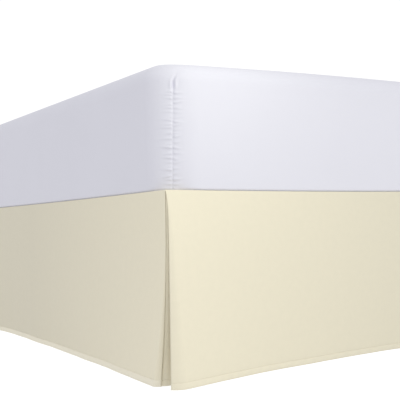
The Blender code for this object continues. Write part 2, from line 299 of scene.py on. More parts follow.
def beech_material(base):
    """Turned beech under satin lacquer: pinkish tan with fine long grain and short darker flecks."""
    tree, shader, material = new_material("beech_turned_lacquered")
    place = add_node(tree, "ShaderNodeTexCoord", out="Object")
    drawn_out = {"Vector": place, "Scale": (1.0, 1.0, 0.06)}
    stretched = add_node(tree, "ShaderNodeMapping", drawn_out)
    lines = {"Vector": stretched, "Scale": 1 / base.grain_width, "Detail": 5.0}
    grain = add_node(tree, "ShaderNodeTexNoise", lines)
    specks = {"Vector": stretched, "Scale": 4 / base.grain_width, "Detail": 2.0}
    fleck = add_node(tree, "ShaderNodeTexNoise", specks)
    tones = {"Factor": grain, "A": base.wood_dark, "B": base.wood_light}
    wood = add_node(tree, "ShaderNodeMix", tones, out=2, data_type="RGBA")
    flecks = add_node(tree, "ShaderNodeMath", {0: fleck, 1: 0.62}, operation="GREATER_THAN")
    flecked = {"Factor": flecks, "A": wood, "B": base.fleck_colour}
    colour = add_node(tree, "ShaderNodeMix", flecked, out=2, data_type="RGBA")
    bump = add_node(tree, "ShaderNodeBump", {"Height": grain, "Strength": 0.15, "Distance": 0.2 * MM})
    feed(tree, shader, {"Base Color": colour, "Normal": bump, "Roughness": 0.4, "Coat Weight": 0.3})
    return material


# Meshes


def mix(a, b, share):
    return a + (b - a) * share


def bell(x, width):
    """1 at 0, falling smoothly to nothing past about twice the width."""
    return math.exp(-((x / width) ** 2))


def settle(point):
    """Where a point of the unloaded bed goes under the mattress's weight."""
    across, along = point.x / DECK_HIGH.x, point.y / DECK_HIGH.y
    sink = END_SINK * max(0.0, 1 - across**2) * along**2 + SIDE_SINK * max(0.0, 1 - along**2) * across**2
    if point.z > DECK_HIGH.z:
        share = 1 - (point.z - DECK_HIGH.z) / (MATTRESS_HIGH.z - DECK_HIGH.z)
    else:
        share = (point.z - FOUNDATION_LOW.z) / (DECK_HIGH.z - FOUNDATION_LOW.z)
    return Vector((point.x, point.y, point.z - sink * min(1.0, max(0.0, share))))


def add_object(name, data):
    thing = bpy.data.objects.new(name, data)
    bpy.context.scene.collection.objects.link(thing)
    return thing


def add_mesh(name, bm, material):
    mesh = bpy.data.meshes.new(name)
    bm.to_mesh(mesh)
    bm.free()
    mesh.materials.append(material)
    return add_object(name, mesh)


def add_piece(name, bm, material, slot, *replaced):
    """Puts the mesh in the scene on the part's body, in place of the solids that it stands for."""
    piece = add_mesh(name, bm, material)
    piece.data.shade_smooth()
    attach(piece, BODY)
    if replaced:
        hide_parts(*replaced)
    return piece


def steps_between(low, high, step):
    """Even places from low to high, about a step apart, without the last."""
    count = max(1, round((high - low) / step))
    return [mix(low, high, i / count) for i in range(count)]


def cloth_grid(columns, rows, point_at, flat_at, outward):
    """A grid of cloth through point_at(column, row), with its flat place as UVs, facing outward."""
    bm = bmesh.new()
    wide, high = len(columns) - 1, len(rows) - 1
    bmesh.ops.create_grid(bm, x_segments=wide, y_segments=high, size=0.5)
    flat_map = bm.loops.layers.uv.new("flat_cloth")
    layers = bm.verts.layers.float.new("layers")
    flats = {}
    for vertex in bm.verts:
        column = columns[round((vertex.co.x + 0.5) * wide)]
        row = rows[round((0.5 - vertex.co.y) * high)]
        vertex[layers] = max(row.layers, column.layers * below_seam(row))
        flats[vertex.index] = flat_at(column, row)
        vertex.co = point_at(column, row)
    for face in bm.faces:
        for loop in face.loops:
            loop[flat_map].uv = flats[loop.vert.index]
    bm.normal_update()
    facing = sum((face.normal * face.calc_area() for face in bm.faces), Vector())
    if facing.dot(outward) < 0:
        bmesh.ops.reverse_faces(bm, faces=bm.faces)
    return bm


def thicken(piece, thin, thick):
    """Makes the sheet thin, and thick along its hems, inwards from its outer face."""
    group = piece.vertex_groups.new(name="hem")
    layers = piece.data.attributes["layers"].data
    for index, value in enumerate(layers):
        group.add([index], value.value, "REPLACE")
    solidify = piece.modifiers.new("Thickness", "SOLIDIFY")
    solidify.thickness = thick
    solidify.offset = -1
    solidify.use_even_offset = True
    solidify.use_quality_normals = True
    solidify.vertex_group = "hem"
    solidify.thickness_vertex_group = thin / thick


# The drops. A row lies depth mm under the seam, drawn in by inset mm, and layers is 1 where the hem is turned twice.

Row = namedtuple("Row", "depth inset layers")

# The rows at the hem's stitching: how far below it each lies, its share of the dimple, how far the hem swells out
# there and its layers. Then those of the hem's fold: how far above the bottom, and the share of the fold's radius
# that it is turned in. Between them the hem swells by HEM_SWELL, with a row every HEM_STEP. All in mm. The roll at
# the seam is drawn at ROLL_TURNS of a quarter turn.
StitchRow = namedtuple("StitchRow", "below dimple swell layers")
STITCH_ROWS = (
    StitchRow(-2.5, 0, 0, 0),
    StitchRow(-1, 0.3, 0, 0),
    StitchRow(0, 1, 0, 0.5),
    StitchRow(1, 0.2, 0, 1),
    StitchRow(2.5, 0, 0.2, 1),
)
FoldRow = namedtuple("FoldRow", "above turned")
FOLD_ROWS = (FoldRow(0.9, 0.05), FoldRow(0.3, 0.4), FoldRow(0, 0.9))
ROLL_TURNS = (0.0, 0.3, 0.6, 0.85)
HEM_SWELL = 0.25
HEM_STEP = 2.5


def drop_rows(cloth, top, hem_layers):
    """The rows of a hung sheet from top mm under the seam: its rolled seam edge, its body, the dimple of the hem's
    stitching, the hem and its rounded fold."""
    drop = DROP / MM
    roll = cloth.seam_roll / MM
    hem_top = drop - cloth.hem_height / MM
    rows = []
    for turn in ROLL_TURNS:
        angle = turn * math.pi / 2
        rows.append(Row(top + roll * (1 - math.cos(angle)), roll * (1 - math.sin(angle)), 0.0))
    rows += [Row(depth, 0.0, 0.0) for depth in steps_between(top + roll, hem_top - 4, ROW_STEP)]
    dimple = cloth.stitch_dimple / MM
    rows += [Row(hem_top + s.below, s.dimple * dimple - s.swell, s.layers) for s in STITCH_ROWS]
    rows += [Row(depth, -HEM_SWELL, 1.0) for depth in steps_between(hem_top + 5, drop - 1.5, HEM_STEP)]
    fold = cloth.hem_thickness / MM / 2
    rows += [Row(drop - f.above, f.turned * fold, 1.0) for f in FOLD_ROWS]
    return [Row(row.depth, row.inset, row.layers * hem_layers) for row in rows]


def share_down(row):
    """0 at the seam, 1 at the hem."""
    return max(0.0, row.depth / (DROP / MM))


def below_seam(row):
    """0 at the seam and above it, 1 from END_HEM_START under it, where a side drop's end hem is at its full
    thickness and clear of the deck's edge."""
    return min(1.0, max(0.0, row.depth / END_HEM_START))


def folds_at(folds, place):
    """How far the soft folds push the hem out at this place along the drop, in mm."""
    return sum(f.stand_off * bell(place - f.place, f.width) for f in folds)


def waves_at(place, length, shift):
    """The cloth's unevenness at the hem, none at either end of this length, in mm."""
    height = sum(w.height * math.sin(math.tau * (place + shift) / w.length + w.phase) for w in WAVES)
    return height * (1 - bell(place, WAVES_START)) * (1 - bell(length - place, WAVES_START))


def flare_at(end, beyond_fold, depth):
    """How far the drop stands off at a distance in mm from its folded end. Depth is 0 at the seam, 1 at the hem."""
    return end.flare * math.exp(-((beyond_fold / end.reach) ** FADE_POWER)) * depth**end.rise


def edge_of(end, depth):
    return end.edge_top + end.edge_swing * (1 - math.exp(-depth / SWING_DEPTH)) + end.edge_lean * depth


def folded_end(end, share, depth):
    """(place along, stand-off) in mm on the folded strip: share is 0 at its edge and 1 where the drop begins."""
    run = mix(FOLD_RUN_AT_SEAM, end.fold_run, depth**end.curl)
    turned_in = end.fold_depth * depth**end.curl * (1 - share) ** 2
    return edge_of(end, depth) + run * share, flare_at(end, 0, depth) - turned_in


# A column: on the run it is value mm along, and on a fold value is its share. Inset and layers are as in a row.
Column = namedtuple("Column", "kind value inset layers", defaults=(0.0, 0.0))


def run_columns(length, fine_last):
    """Columns along a drop, closest at its corners."""
    end = length - FINE_RUN if fine_last else length
    places = steps_between(0, FINE_RUN, FINE_STEP) + steps_between(FINE_RUN, end, WIDE_STEP)
    if fine_last:
        places += steps_between(end, length, FINE_STEP)
    return [Column("run", place) for place in places + [length]]


def folded_columns(kind):
    """The columns of a folded end, from its edge."""
    return [Column(kind, i / FOLD_STEPS) for i in range(FOLD_STEPS)]


def side_columns(cloth):
    """A side drop's columns: its folded edge at the foot, its body and the hem at its head end."""
    length, hem_line = SIDE_RUN / MM, end_hem_line(cloth)
    body = [column for column in run_columns(length, False) if column.value < hem_line - 6]
    stitched = [Column("run", hem_line - 2), Column("run", hem_line, cloth.stitch_dimple / MM, 0.5)]
    hem = [Column("run", hem_line + 2, 0.0, 1.0), Column("run", length - 1.5, 0.0, 1.0)]
    fold = cloth.hem_thickness / MM / 2
    hem += [Column("run", length - 0.4, 0.3 * fold, 1.0), Column("run", length, 0.9 * fold, 1.0)]
    return folded_columns("fold") + body + stitched + hem


def end_hem_line(cloth):
    """How far along a side drop, in mm, the stitching of its head end's hem is."""
    return (SIDE_RUN - cloth.hem_height) / MM


def foot_columns():
    return folded_columns("left_fold") + run_columns(2 * SEAM_X / MM, True) + folded_columns("right_fold")[::-1]


def side_place(side, column, row):
    """(place along, stand-off) in mm of a point of a side drop."""
    end = ENDS["side", side]
    length = SIDE_RUN / MM
    depth = share_down(row)
    if column.kind == "fold":
        along, out = folded_end(end, column.value, depth)
    else:
        along = mix(folded_end(end, 1, depth)[0], length, column.value / length)
        out = flare_at(end, column.value, depth)
        # Twice the length, so that the waves don't fade at the head end.
        out += (folds_at(SIDE_FOLDS[side], along) + waves_at(along, 2 * length, SIDES[side] * SIDE_WAVE_SHIFT)) * depth
    return along, out - row.inset - column.inset * below_seam(row)


def foot_place(column, row):
    """(place along, stand-off) in mm of a point of the foot drop."""
    left, right = ENDS["foot", "left"], ENDS["foot", "right"]
    width = 2 * SEAM_X / MM
    depth = share_down(row)
    if column.kind == "left_fold":
        along, out = folded_end(left, column.value, depth)
    elif column.kind == "right_fold":
        from_right, out = folded_end(right, column.value, depth)
        along = width - from_right
    else:
        first = folded_end(left, 1, depth)[0]
        last = width - folded_end(right, 1, depth)[0]
        along = mix(first, last, column.value / width)
        out = flare_at(left, column.value, depth) + flare_at(right, width - column.value, depth)
        out += (folds_at(FOOT_FOLDS, along) + waves_at(along, width, 0)) * depth
    return along, out - row.inset


def hung_point(x, y, row):
    return settle(Vector((x, y, DECK_HIGH.z - row.depth * MM)))


def side_point(side, column, row):
    along, out = side_place(side, column, row)
    return hung_point(SIDES[side] * (SEAM_X + out * MM), -SEAM_Y + along * MM, row)


def foot_point(column, row):
    along, out = foot_place(column, row)
    return hung_point(-SEAM_X + along * MM, -SEAM_Y - out * MM, row)


def hem_column(place, length, first, last=None):
    """The column of a drop at place mm from its first folded edge, round its fold and along its run. First and
    last are the kind of column and the DropEnd of its folded ends."""
    kind, end = first
    if place < end.fold_run:
        return Column(kind, place / end.fold_run)
    along = place - end.fold_run
    if last and along > length:
        kind, end = last
        return Column(kind, 1 - (along - length) / end.fold_run)
    return Column("run", along)


def pleat_columns():
    foot = [Column("foot_leg", i / PLEAT_LEG_STEPS) for i in range(PLEAT_LEG_STEPS)]
    arc = [Column("arc", i / PLEAT_ARC_STEPS) for i in range(PLEAT_ARC_STEPS + 1)]
    side = [Column("side_leg", i / PLEAT_LEG_STEPS) for i in range(1, PLEAT_LEG_STEPS + 1)]
    return foot + arc + side


def pleat_point(side, column, row):
    """A point of the underlay: a tight square corner behind both drops at the seam, wide and soft at the hem,
    where it stands off with the side drop."""
    hem = PLEAT_HEMS[side]
    depth = share_down(row)
    share = depth**PLEAT_RISE
    half_x = mix(PLEAT_TOP_RADIUS, hem.half_x, share)
    half_y = mix(PLEAT_TOP_RADIUS, hem.half_y, share)

    def behind_side(y):
        return BEHIND_DROP + PLEAT_CLEARANCE * depth - flare_at(ENDS["side", side], y, depth)

    front = mix(BEHIND_DROP, hem.front, share)
    centre_y = front + half_y
    centre_x = behind_side(centre_y) + half_x
    if column.kind == "foot_leg":
        x = mix(PLEAT_LEG, centre_x, column.value)
        y = mix(mix(BEHIND_DROP, hem.foot_edge, share), front, column.value) + row.inset
    elif column.kind == "arc":
        angle = column.value * math.pi / 2
        x = centre_x - (half_x - row.inset) * math.sin(angle)
        y = centre_y - (half_y - row.inset) * math.cos(angle)
    else:
        y = mix(centre_y, PLEAT_LEG, column.value)
        x = behind_side(y) + row.inset
    return hung_point(SIDES[side] * (SEAM_X - x * MM), -SEAM_Y + y * MM, row)


def sew_row(name, cloth, length, point_at, outward, material):
    """A row of lockstitches length mm long: a flattened bead of thread for each stitch that shows."""
    pitch = cloth.stitch_length / MM
    bm = bmesh.new()
    place = SEWN_FROM
    while place + pitch < length - SEWN_FROM:
        start, end = point_at(place), point_at(place + pitch)
        along = end - start
        across = outward.cross(along).normalized()
        out = along.cross(across).normalized()
        axes = Matrix((along.normalized(), across, out)).transposed().to_4x4()
        size = Matrix.Diagonal((BEAD_HALF * along.length, cloth.thread / 2, cloth.thread / 2, 1))
        lift = Matrix.Translation((start + end) / 2 + out * cloth.thread * BEAD_LIFT)
        bmesh.ops.create_icosphere(bm, subdivisions=1, radius=1, matrix=lift @ axes @ size)
        place += pitch
    bm.normal_update()
    return add_piece(name, bm, material, "skirt_microfibre")


# Boxes with round edges, built as rings from the middle of the underside, up the sides, to the middle of the top.

# A place round the box: the number of its corner and the distance in mm from that corner's middle, or, on the
# straight after that corner, run from -1 to 1. Corner 0 is the foot-left one, and they go anticlockwise.
Station = namedtuple("Station", "corner seam run")
# A ring: how far it is drawn in from the sides, how high it is, and how far its surface tilts up from upright.
Ring = namedtuple("Ring", "inset height tilt")

CORNERS = 4
# The foundation's corded seams: the half width of the cord, and how deep the furrow beside it is.
CORD = 4 * MM
CORD_FURROW = 1.5 * MM
# The rings of a top or underside end this near to its middle, where one face closes it.
FACE_MIDDLE = 8 * MM
# The face that closes the mattress's underside is flat where the bed sinks, so it is lifted clear of the deck.
CLOSING_LIFT = 0.5 * MM
# The least share of the corner radius that a ring keeps, however far it is drawn in.
ROUND_HOLD = 0.4
# A leg's radius at its foot, as a share of that at its top, and the number of its sides.
LEG_TAPER = 0.75
LEG_SIDES = 40


def stations(half_x, half_y, radius, seam_reach, seam_step, arc_step, straight_step):
    """All the places round a box with this corner radius, close together near the middle of each corner."""
    arc_half = radius * math.pi / 4
    near = steps_between(0, seam_reach, seam_step) + steps_between(seam_reach, arc_half, arc_step)
    signed = [-s / MM for s in reversed(near[1:])] + [s / MM for s in near]
    found = []
    for corner in range(CORNERS):
        run = (half_y if corner % 2 else half_x) - radius
        found += [Station(corner, s, None) for s in signed]
        found += [Station(corner, None, t) for t in steps_between(-1, 1, straight_step / run)]
    return found


def on_ring(station, half_x, half_y, radius, inset, shift=0.0):
    """(point, outward direction) on the ring drawn in by inset. Shift moves a corner's places round, in mm."""
    hold = ROUND_HOLD * radius * (1 - inset / half_x)
    turn = max(radius - inset, hold)
    centre = Vector((half_x - inset - turn, half_y - inset - turn))
    if station.seam is None:
        angle = (station.corner - 1) * math.pi / 2
        out = Vector((math.cos(angle), math.sin(angle)))
        along = Vector((-out.y, out.x))
        reach = (centre.x if station.corner % 2 else centre.y) + turn
        run = (centre.y if station.corner % 2 else centre.x) * station.run
        return out * reach + along * run, out
    middle = (station.corner + 2.5) * math.pi / 2
    side = Vector((math.copysign(1, math.cos(middle)), math.copysign(1, math.sin(middle))))
    angle = middle + (station.seam + shift) * MM / radius
    out = Vector((math.cos(angle), math.sin(angle)))
    return centre * side + out * turn, out


def profile_box(places, rings, point_at):
    """Closes a surface of all rings through point_at(station, ring, climb), where climb is the distance walked up
    the rings. UVs are the distances walked round and up, or on the top and underside along X and Y, in metres."""
    climbs = [0.0]
    for below, above in zip(rings, rings[1:]):
        climbs.append(climbs[-1] + math.hypot(above.inset - below.inset, above.height - below.height))
    bm = bmesh.new()
    wide, high = len(places), len(rings) - 1
    bmesh.ops.create_grid(bm, x_segments=wide, y_segments=high, size=0.5)
    flat_map = bm.loops.layers.uv.new("flat_cloth")
    cells, waist = {}, {}
    for vertex in bm.verts:
        column = round((vertex.co.x + 0.5) * wide)
        row = round((vertex.co.y + 0.5) * high)
        vertex.co = point_at(places[column % wide], rings[row], climbs[row])
        cells[vertex.index] = (column, row)
        if row == high // 2:
            waist[column] = vertex.co
    rounds = [0.0]
    for column in range(wide):
        rounds.append(rounds[-1] + (waist[column + 1] - waist[column]).length)
    bm.normal_update()
    for face in bm.faces:
        level = abs(face.normal.z) > 0.9
        for loop in face.loops:
            column, row = cells[loop.vert.index]
            loop[flat_map].uv = loop.vert.co.xy if level else (rounds[column], climbs[row])
    bmesh.ops.remove_doubles(bm, verts=bm.verts, dist=MM / 1000)
    bmesh.ops.edgeloop_fill(bm, edges=[e for e in bm.edges if e.is_boundary])
    bmesh.ops.recalc_face_normals(bm, faces=bm.faces)
    return bm


def face_insets(first, half_x, count):
    """Insets of the rings across a top or underside, from its rim to near its middle."""
    last = half_x - FACE_MIDDLE
    return [mix(first, last, (i / count) ** 1.6) for i in range(1, count + 1)]


def round_box_rings(low, high, half_x, bottom_radius, top_radius, side_step, edge_steps, face_steps):
    """The rings of a box with round bottom and top edges."""
    quarter = math.pi / 2
    rings = [Ring(inset, low, -quarter) for inset in reversed(face_insets(bottom_radius, half_x, face_steps))]
    for i in range(edge_steps // 2):
        tilt = -quarter * (1 - i / (edge_steps // 2))
        rings.append(Ring(bottom_radius * (1 - math.cos(tilt)), low + bottom_radius * (1 + math.sin(tilt)), tilt))
    rings += [Ring(0.0, height, 0.0) for height in steps_between(low + bottom_radius, high - top_radius, side_step)]
    for i in range(2 * edge_steps + 1):
        tilt = quarter * i / (2 * edge_steps)
        rings.append(Ring(top_radius * (1 - math.cos(tilt)), high - top_radius * (1 - math.sin(tilt)), tilt))
    return rings + [Ring(inset, high, quarter) for inset in face_insets(top_radius, half_x, 2 * face_steps)]


# The mattress's corner seams: a sewn valley with gathers running off it on both sides, and at the top edge a short
# deep crease between two lips.

Pucker = namedtuple("Pucker", "climb side length height slope")

# The ranges that a gather is drawn from: how far up the first one is and how long each is, in mm, its height and
# the distance to the next as shares of the cover's settings, and its slope.
FIRST_PUCKER = (0, 4)
PUCKER_LENGTHS = (10, 19)
PUCKER_HEIGHTS = (0.4, 1.0)
PUCKER_GAPS = (0.75, 1.3)
PUCKER_SLOPES = (-0.15, 0.25)
# How far a gather spreads above and below its crest, in mm: it overhangs a little, so its underside is in shade.
PUCKER_ABOVE = 3.4
PUCKER_BELOW = 1.8
PUCKER_REACH = 12
# The valley is steep on the side sewn on top and easy on the other, in mm.
STEEP_BANK = 5.0
EASY_BANK = 10.0
# The crease: how deep and wide it is, how far it runs up and down, and how high its lips are, in mm.
CREASE_DEPTH = 3.4
CREASE_WIDTH = 2.4
CREASE_RUN = 12
CREASE_LIP = 2.2
# How far below the side's top the crease lies and the seam ends, fading over SEAM_FADE, in mm.
CREASE_DOWN = 49
SEAM_END_DOWN = 24
SEAM_FADE = 6
# How far round from the seam its lean moves the cover, and where the gathers begin beside it, in mm.
SEAM_WIDTH = 40
PUCKER_START = 1.6
# The swell follows a sine up the side to the power SWELL_POWER, and a share SWELL_LOSS of it is gone at a face's ends.
SWELL_POWER = 0.7
SWELL_LOSS = 0.6
# How far in from its edge the top still follows the ends' crown, and how far the long sides' top edge falls.
CROWN_REACH = 0.2
SIDE_FALL = 1 * MM


def corner_puckers(seam, first, last, cover):
    """The gathers of one seam, in mm: where they are on the way up, which side, and how long, high and wide."""
    rng = random.Random(seam.seed)
    puckers = []
    for side in (-1, 1):
        climb = first + rng.uniform(*FIRST_PUCKER)
        while climb < last:
            # The gathers are strongest a little below the middle of the seam.
            strong = 0.7 + 0.3 * bell(climb - mix(first, last, 0.45), 30)
            height = cover.pucker_height / MM * rng.uniform(*PUCKER_HEIGHTS) * strong
            length, slope = rng.uniform(*PUCKER_LENGTHS), rng.uniform(*PUCKER_SLOPES)
            puckers.append(Pucker(climb, side, length, height, slope))
            climb += cover.pucker_pitch / MM * rng.uniform(*PUCKER_GAPS)
    return puckers


def seam_relief(across, climb, end, crease, puckers, cover):
    """How far the cover stands out at a distance across from the seam and a climb up it, in mm."""
    fade = 1 / (1 + math.exp((climb - end) / SEAM_FADE))
    distance = abs(across)
    relief = -cover.seam_depth / MM * math.exp(-distance / (STEEP_BANK if across < 0 else EASY_BANK))
    lips = CREASE_LIP * bell(distance - 2.2 * CREASE_WIDTH, 1.3 * CREASE_WIDTH)
    relief += bell(climb - crease, CREASE_RUN) * (lips - CREASE_DEPTH * bell(across, CREASE_WIDTH))
    start = 1 - bell(distance, PUCKER_START)
    for pucker in puckers:
        if pucker.side * across > 0:
            off = climb - pucker.climb - pucker.slope * distance
            if abs(off) < PUCKER_REACH:
                crest = bell(off, PUCKER_ABOVE if off > 0 else PUCKER_BELOW)
                relief += pucker.height * crest * bell(distance, pucker.length) * start
    return relief * fade


# The sidebar's settings


def setting(name, description, default, **kind):
    return bpy.props.FloatProperty(name=name, description=description, default=default, **kind)


def length_setting(name, description, default):
    return setting(name, description, default, unit="LENGTH")


def colour_setting(name, description, code):
    kind = {"subtype": "COLOR", "size": 4, "min": 0.0, "max": 1.0}
    return bpy.props.FloatVectorProperty(name=name, description=description, default=linear(code), **kind)


class ClothSettings(bpy.types.PropertyGroup):
    """The skirt's cloth and sewing."""

    hem_height: length_setting("Hem", "Height of the turned hem", 12.7 * MM)
    hem_thickness: length_setting("Hem thickness", "Thickness of the hem's three layers", 2.2 * MM)
    sheet: length_setting("Cloth", "Thickness of one layer", 1.1 * MM)
    seam_roll: length_setting("Seam roll", "Radius of the edge turned in at the top seam", 1.4 * MM)
    seam_welt: length_setting("Seam welt", "How far the top seam stands above the deck", 1.8 * MM)
    foot_hem: setting("Foot hem", "Fullness of the foot's and underlays' hems beside the side drops'", 0.12)
    stitch_length: length_setting("Stitch", "Length of one stitch of the hem", 3.2 * MM)
    stitch_dimple: length_setting("Stitch dimple", "How far the stitching pulls the hem in", 0.9 * MM)
    thread: length_setting("Thread", "Thickness of the sewing thread", 0.5 * MM)
    # Painted light: how far from a split corner the cloth's painted lighter tone reaches.
    painted_lighter_reach: length_setting("Smoothed nap", "How far from a split corner the nap is smoothed", 0.75)
    drawn_thread: length_setting("Drawn weave", "Thread spacing of the weave as drawn", 1.2 * MM)
    nap_size: length_setting("Nap", "Size of the brushed nap's mottle", 14 * MM)
    # Painted light: the cloth colour is the tone away from the split corners, and the second colour is the painted
    # lighter tone near them.
    colour: colour_setting("Cloth colour", "Colour where the nap stands", "DED8C5")
    painted_lighter_colour: colour_setting("Smoothed colour", "Colour where the nap lies flat", "F1EAD4")
    # Painted light: the hem colour is lighter than the cloth's for the light the hems catch and for less shade showing
    # through three layers.
    hem_painted_light_colour: colour_setting("Hem colour", "Colour of the three layers of the hem", "F4EEDC")
    thread_dark: colour_setting("Thread, dark", "Darker colour of the sewing thread", "E4DCC3")
    thread_light: colour_setting("Thread, light", "Lighter colour of the sewing thread", "F4EEDC")


class MattressSettings(bpy.types.PropertyGroup):
    """The mattress and its cover."""

    corner_radius: length_setting("Corner", "Radius of the upright corners", 85 * MM)
    top_radius: length_setting("Top edge", "Radius of the top edge", 40 * MM)
    bottom_radius: length_setting("Bottom edge", "Radius of the bottom edge", 7 * MM)
    side_bulge: length_setting("Side bulge", "How far the filled sides swell", 2.5 * MM)
    end_crown: length_setting("End crown", "Rise of the top edge in the middle of each end", 5 * MM)
    end_dip: length_setting("End dip", "Fall of the ends' top edge at the corners", 7 * MM)
    dome: length_setting("Dome", "Rise of the middle of the top", 7 * MM)
    seam_depth: length_setting("Seam", "Depth of the sewn corner seams", 2.0 * MM)
    pucker_pitch: length_setting("Gather spacing", "Distance between the seam's gathers", 9 * MM)
    pucker_height: length_setting("Gather height", "Height of the deepest gathers", 3.6 * MM)
    drawn_thread: length_setting("Drawn grain", "Size of the cover's grain as drawn", 1.5 * MM)
    tone_size: length_setting("Tone", "Size of the cover's faint changes of tone", 160 * MM)
    dark: colour_setting("Cover, dark", "Darker tone of the cover", "E0E0EB")
    light: colour_setting("Cover, light", "Lighter tone of the cover", "E3E3EE")


class BaseSettings(bpy.types.PropertyGroup):
    """The foundation and its legs."""

    corner_radius: length_setting("Corner", "Radius of the foundation's upright corners", 30 * MM)
    edge_radius: length_setting("Edge", "Radius of the foundation's top and bottom edges", 6 * MM)
    piping: length_setting("Piping", "How far the corded edge seams stand proud", 3 * MM)
    half_repeat: length_setting("Half stripe repeat", "Half the distance from one pair to the next", 32 * MM)
    stripe_width: length_setting("Stripe", "Width of one stripe", 2.4 * MM)
    drawn_thread: length_setting("Drawn twill", "Thread spacing of the ticking as drawn", 1.5 * MM)
    grain_width: length_setting("Wood grain", "Width of the beech's grain lines", 4 * MM)
    ticking_dark: colour_setting("Ticking, dark", "Darker threads of the ticking's ground", "DDD8CB")
    ticking_light: colour_setting("Ticking, light", "Lighter threads of the ticking's ground", "EAE6DB")
    stripe_colour: colour_setting("Stripe colour", "Colour of the ticking's stripes", "B4B7BC")
    wood_dark: colour_setting("Wood, dark", "Darker grain of the beech", "B98A5E")
    wood_light: colour_setting("Wood, light", "Lighter grain of the beech", "D9B083")
    fleck_colour: colour_setting("Fleck colour", "Colour of the beech's flecks", "A87B50")


# The camera's place from the hem's foot-left corner, its picture's width and focal length in pixels, and the width
# of its sensor in mm.
CAMERA_FROM_CORNER = (-0.7544, -1.3049, 0.3219)
PICTURE_PIXELS = 400
FOCAL_PIXELS = 765.7
SENSOR = 36
# A long softbox in front of the foot end, and a small one close over the near corner. Place and aim are from the
# hem's foot-left corner, and all sizes are in metres.
Softbox = namedtuple("Softbox", "wide high place aim")
SOFTBOXES = {
    "strip": Softbox(2.2, 0.5, (1.3, -1.8, 0.8), (1.3, 0, 0.35)),
    "accent": Softbox(0.25, 0.25, (0.06, -0.38, 0.82), (0.06, 0, 0.45)),
}
SOFTBOX_COLOUR = (1.0, 1.0, 0.87)
# Half the floor's size in metres, and the light it gives off to the camera as a share of the background's.
FLOOR_HALF = 60
FLOOR_SHARE = 0.8


class StageSettings(bpy.types.PropertyGroup):
    """The camera, floor and lights."""

    lens: setting("Lens", "Focal length in mm", SENSOR * FOCAL_PIXELS / PICTURE_PIXELS)
    camera_yaw: setting("Yaw", "Camera's turn from +Y to +X", math.radians(32.55), subtype="ANGLE")
    camera_pitch: setting("Pitch", "Camera's tilt above the horizon", math.radians(1.48), subtype="ANGLE")
    camera_roll: setting("Roll", "Camera's roll", math.radians(-1.71), subtype="ANGLE")
    sky: setting("Sky", "Brightness of the room's even light", 0.83)
    strip: setting("Strip", "Power of the long softbox in watts", 6.5)
    accent: setting("Accent", "Power of the small softbox in watts", 0.64)
    floor_glow: setting("Floor glow", "Light that the floor gives off itself", 0.455)
    background: setting("Background", "How white the floor and the room look to the camera", 1.05)
    floor_colour: colour_setting("Floor colour", "Colour of the paper floor", "A8A8A8")


# The operators


class BEDSKIRT_OT_mattress(bpy.types.Operator):
    """Build the mattress in its percale cover, with its four gathered corner seams"""

    bl_idname = "bed_skirt.mattress"
    bl_label = "Mattress"

    def execute(self, context):
        cover = context.scene.bed_skirt_mattress
        low, high = MATTRESS_LOW.z, MATTRESS_HIGH.z
        half_x, half_y, radius = MATTRESS_HIGH.x, MATTRESS_HIGH.y, cover.corner_radius
        tall = high - low
        edges = (cover.bottom_radius, cover.top_radius)
        rings = round_box_rings(low, high, half_x, *edges, side_step=1.4 * MM, edge_steps=12, face_steps=10)
        steps = {"seam_step": 1.5 * MM, "arc_step": 6 * MM, "straight_step": 55 * MM}
        places = stations(half_x, half_y, radius, seam_reach=26 * MM, **steps)
        underside = half_x - FACE_MIDDLE
        side_top = (underside + tall) / MM
        seam_end = side_top - SEAM_END_DOWN
        crease = side_top - CREASE_DOWN
        last_pucker = crease - CREASE_RUN
        puckers = [corner_puckers(seam, underside / MM, last_pucker, cover) for seam in CORNER_SEAMS]

        def point_at(station, ring, climb):
            up = (ring.height - low) / tall
            shift = 0.0
            if station.seam is not None:
                seam = CORNER_SEAMS[station.corner]
                over = math.sin(max(0.0, ring.tilt))
                shift = (seam.start + seam.lean * up + seam.bend * over) * bell(station.seam, SEAM_WIDTH)
            flat, out = on_ring(station, half_x, half_y, radius, ring.inset, shift)
            across_x, across_y = flat.x / half_x, flat.y / half_y
            face = abs(across_x) if abs(out.y) > abs(out.x) else abs(across_y)
            swell = cover.side_bulge * math.sin(math.pi * up) ** SWELL_POWER * (1 - SWELL_LOSS * face**2)
            out_by = swell * math.cos(ring.tilt)
            relief = 0.0
            if station.seam is not None and ring.tilt > -math.pi / 4:
                folds = puckers[station.corner]
                relief = MM * seam_relief(station.seam, climb / MM, seam_end, crease, folds, cover)
            normal = Vector((out.x * math.cos(ring.tilt), out.y * math.cos(ring.tilt), math.sin(ring.tilt)))
            crown = (cover.end_dip + cover.end_crown) * (1 - across_x**2) - cover.end_dip
            from_edge = max(0.0, ring.inset - cover.top_radius)
            rise = mix(-SIDE_FALL, crown, out.y**2) * up**1.5 * bell(from_edge, CROWN_REACH)
            if ring.tilt > 0:
                rise += cover.dome * (1 - across_x**2) * (1 - across_y**2)
            elif climb == 0:
                rise += CLOSING_LIFT
            place = Vector((flat.x + out.x * out_by, flat.y + out.y * out_by, ring.height + rise))
            return settle(place + normal * relief)

        bm = profile_box(places, rings, point_at)
        piece = add_piece("mattress_cover", bm, percale_material(cover), "mattress_cover", "mattress")
        return {"FINISHED"}


